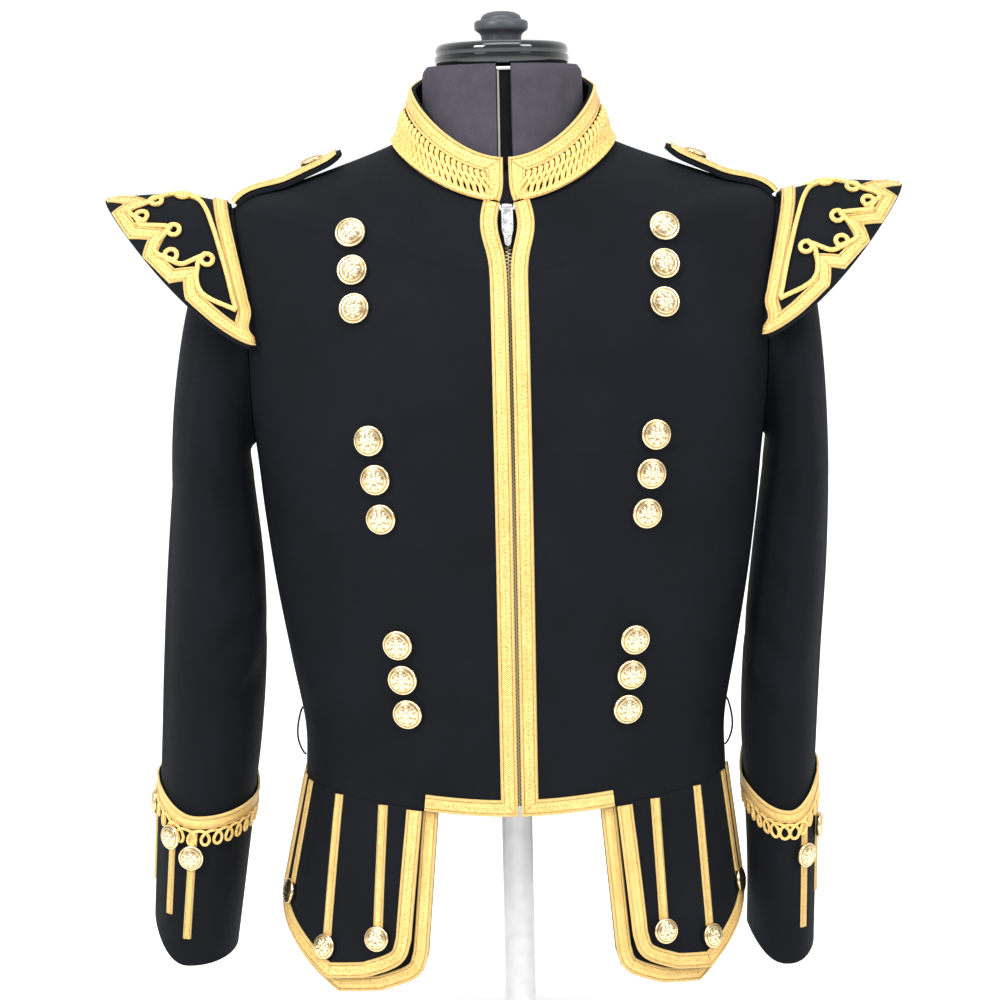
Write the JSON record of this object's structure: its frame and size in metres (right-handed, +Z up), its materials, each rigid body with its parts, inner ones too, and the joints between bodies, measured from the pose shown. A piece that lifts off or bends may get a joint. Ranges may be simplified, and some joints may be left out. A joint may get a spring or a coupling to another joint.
{
  "type": "braided military doublet on a dress form with a stand",
  "caption": "Waist-length dark doublet with gold braid, shoulder wings, buttoned skirts and a front zip, on a limbless dress form with a round base.",
  "frame": {"origin": "middle of the underside of the stand's round base", "axes": "+Z up, -Y the way the doublet's front faces, +X towards the wearer's left"},
  "size_m": [0.627, 0.32, 0.904],
  "materials": {
    "wool": "matt fine wool barathea, near black",
    "gold_braid": "woven gold wire braid with a soft gleam",
    "gilt": "polished gilt",
    "zip_tape": "woven tape, with a chain of dull brass teeth",
    "zip_metal": "bright nickel",
    "form_cloth": "grey-violet jersey stretched over the form",
    "form_plastic": "glossy black",
    "stand_paint": "white paint, satin"
  },
  "bodies": {
    "doublet": {"front_left": "wool", "front_right": "wool", "back": "wool", "collar": "wool", "sleeve_left": "wool", "sleeve_right": "wool", "cuff_left": "wool", "cuff_right": "wool", "wing_left": "wool", "wing_right": "wool", "strap_left": "wool", "strap_right": "wool", "skirt_front_left": "wool", "skirt_front_right": "wool", "skirt_back_left": "wool", "skirt_back_right": "wool", "under_skirt_left": "wool", "under_skirt_right": "wool", "front_braid_left": "gold_braid", "front_braid_right": "gold_braid", "collar_braid": "gold_braid", "collar_fret": "gold_braid", "wing_braid_left": "gold_braid", "wing_braid_right": "gold_braid", "cuff_trim_left": "gold_braid", "cuff_trim_right": "gold_braid", "strap_trim_left": "gold_braid", "strap_trim_right": "gold_braid", "skirt_trim_front_left": "gold_braid", "skirt_trim_front_right": "gold_braid", "skirt_trim_back_left": "gold_braid", "skirt_trim_back_right": "gold_braid", "under_skirt_braid_left": "gold_braid", "under_skirt_braid_right": "gold_braid", "button_left_1a": "gilt", "button_left_1b": "gilt", "button_left_1c": "gilt", "button_left_2a": "gilt", "button_left_2b": "gilt", "button_left_2c": "gilt", "button_left_3a": "gilt", "button_left_3b": "gilt", "button_left_3c": "gilt", "button_right_1a": "gilt", "button_right_1b": "gilt", "button_right_1c": "gilt", "button_right_2a": "gilt", "button_right_2b": "gilt", "button_right_2c": "gilt", "button_right_3a": "gilt", "button_right_3b": "gilt", "button_right_3c": "gilt", "zip": "zip_tape", "zip_slider": "zip_metal", "form_torso": "form_cloth", "form_cap": "form_plastic", "form_stand": "stand_paint"},
    "zip_pull": {"zip_pull": "zip_metal"}
  },
  "joints": [
    {"name": "zip_pull_swing", "type": "hinge", "parent": "doublet", "child": "zip_pull", "pos_m": [0, -0.08108, 0.75187], "axis": [-1, 0, 0], "range_deg": [0, 150]}
  ]
}
